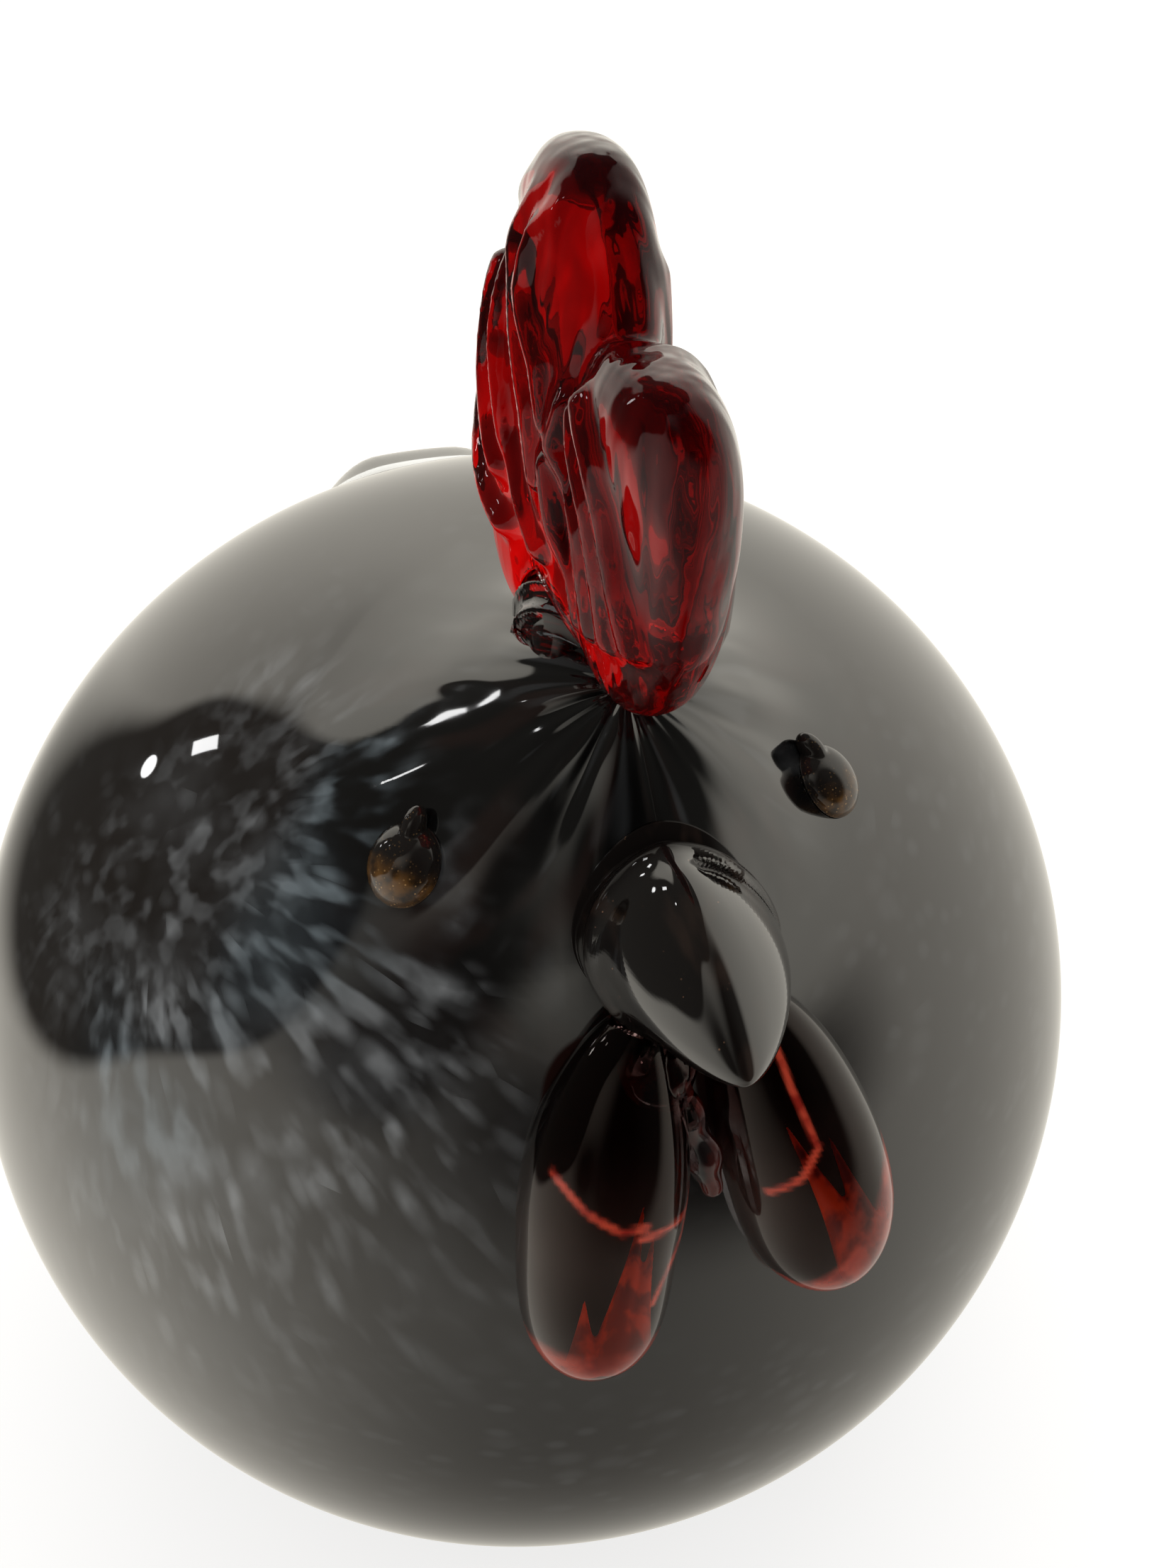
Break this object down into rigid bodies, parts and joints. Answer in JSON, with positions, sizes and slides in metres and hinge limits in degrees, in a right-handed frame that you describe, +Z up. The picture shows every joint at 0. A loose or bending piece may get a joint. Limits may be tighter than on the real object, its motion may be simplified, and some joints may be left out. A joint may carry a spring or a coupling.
{
  "type": "glass chicken figurine",
  "caption": "Round hand-blown glass hen with a tall lobed red comb, dark beak, dot eyes and clear drop wattles, standing on a ground flat base.",
  "frame": {"origin": "centre of the ground flat underside, on the surface that the hen stands on", "axes": "+Z up, the hen faces -Y and its tail points to +Y, +X is the hen's own left side"},
  "size_m": [0.1438, 0.1458, 0.1815],
  "materials": {
    "clear_glass": "fire-polished clear glass",
    "smoke_glass": "fire-polished smoke-grey glass with pale chips",
    "red_glass": "fire-polished transparent red glass",
    "brown_glass": "fire-polished near-black brown glass",
    "amber_glass": "fire-polished amber glass with metallic flecks"
  },
  "bodies": {
    "root": {"body_casing": "clear_glass", "body_colour_layer": "smoke_glass", "base_button": "clear_glass", "comb": "red_glass", "comb_root": "clear_glass", "beak": "brown_glass", "eye_left": "amber_glass", "eye_right": "amber_glass", "wattle_left": "clear_glass", "wattle_left_core": "red_glass", "wattle_right": "clear_glass", "wattle_right_core": "red_glass", "throat_knob": "clear_glass"}
  },
  "joints": []
}
